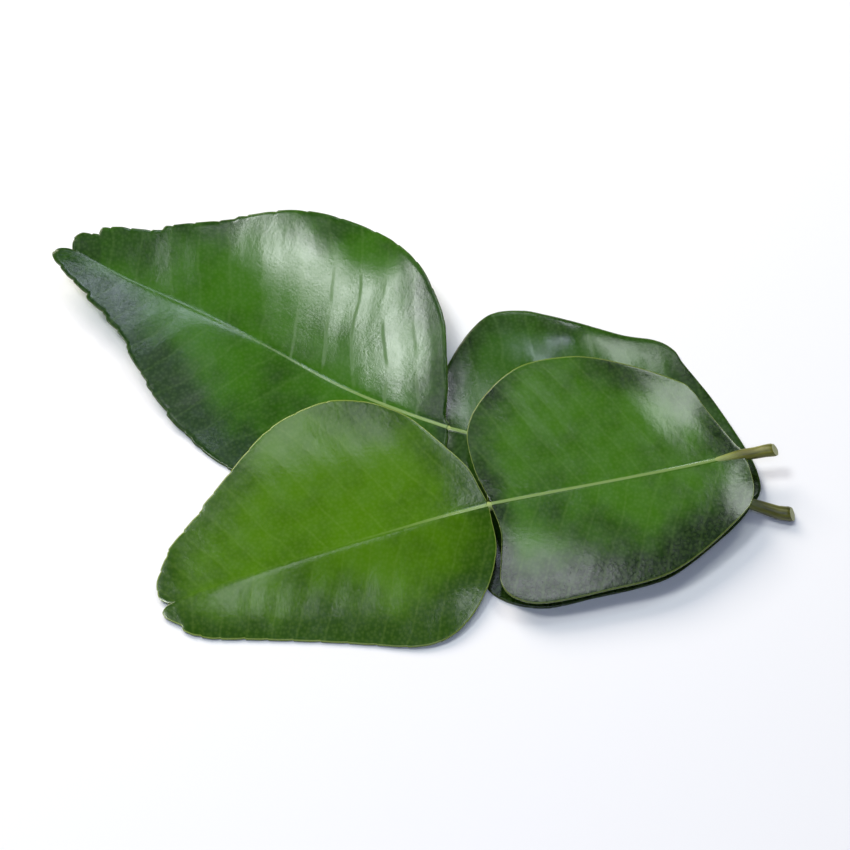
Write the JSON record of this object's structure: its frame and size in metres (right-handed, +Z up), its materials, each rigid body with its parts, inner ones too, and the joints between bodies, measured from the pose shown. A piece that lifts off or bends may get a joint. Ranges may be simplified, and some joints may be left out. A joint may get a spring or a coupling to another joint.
{
  "type": "lime leaf sprig",
  "caption": "Small lime leaf sprig: winged leaves with short cut stalks, laid flat one across the other, as a cut herb.",
  "frame": {"origin": "middle of the sprig's outline, on the surface it lies on", "axes": "+X from the leaf tips towards the cut stalks, +Z up"},
  "size_m": [0.1338, 0.0858, 0.0104],
  "materials": {
    "back_leaf_stalk": "satin green stalk",
    "back_leaf_wing": "waxy leaf, half gloss",
    "back_leaf_blade": "waxy leaf, half gloss",
    "front_leaf_stalk": "satin green stalk",
    "front_leaf_wing": "waxy leaf, half gloss",
    "front_leaf_blade": "waxy leaf, half gloss"
  },
  "bodies": {
    "root": {"back_leaf_stalk": "back_leaf_stalk", "back_leaf_wing": "back_leaf_wing", "back_leaf_blade": "back_leaf_blade", "front_leaf_stalk": "front_leaf_stalk", "front_leaf_wing": "front_leaf_wing", "front_leaf_blade": "front_leaf_blade"}
  },
  "joints": []
}
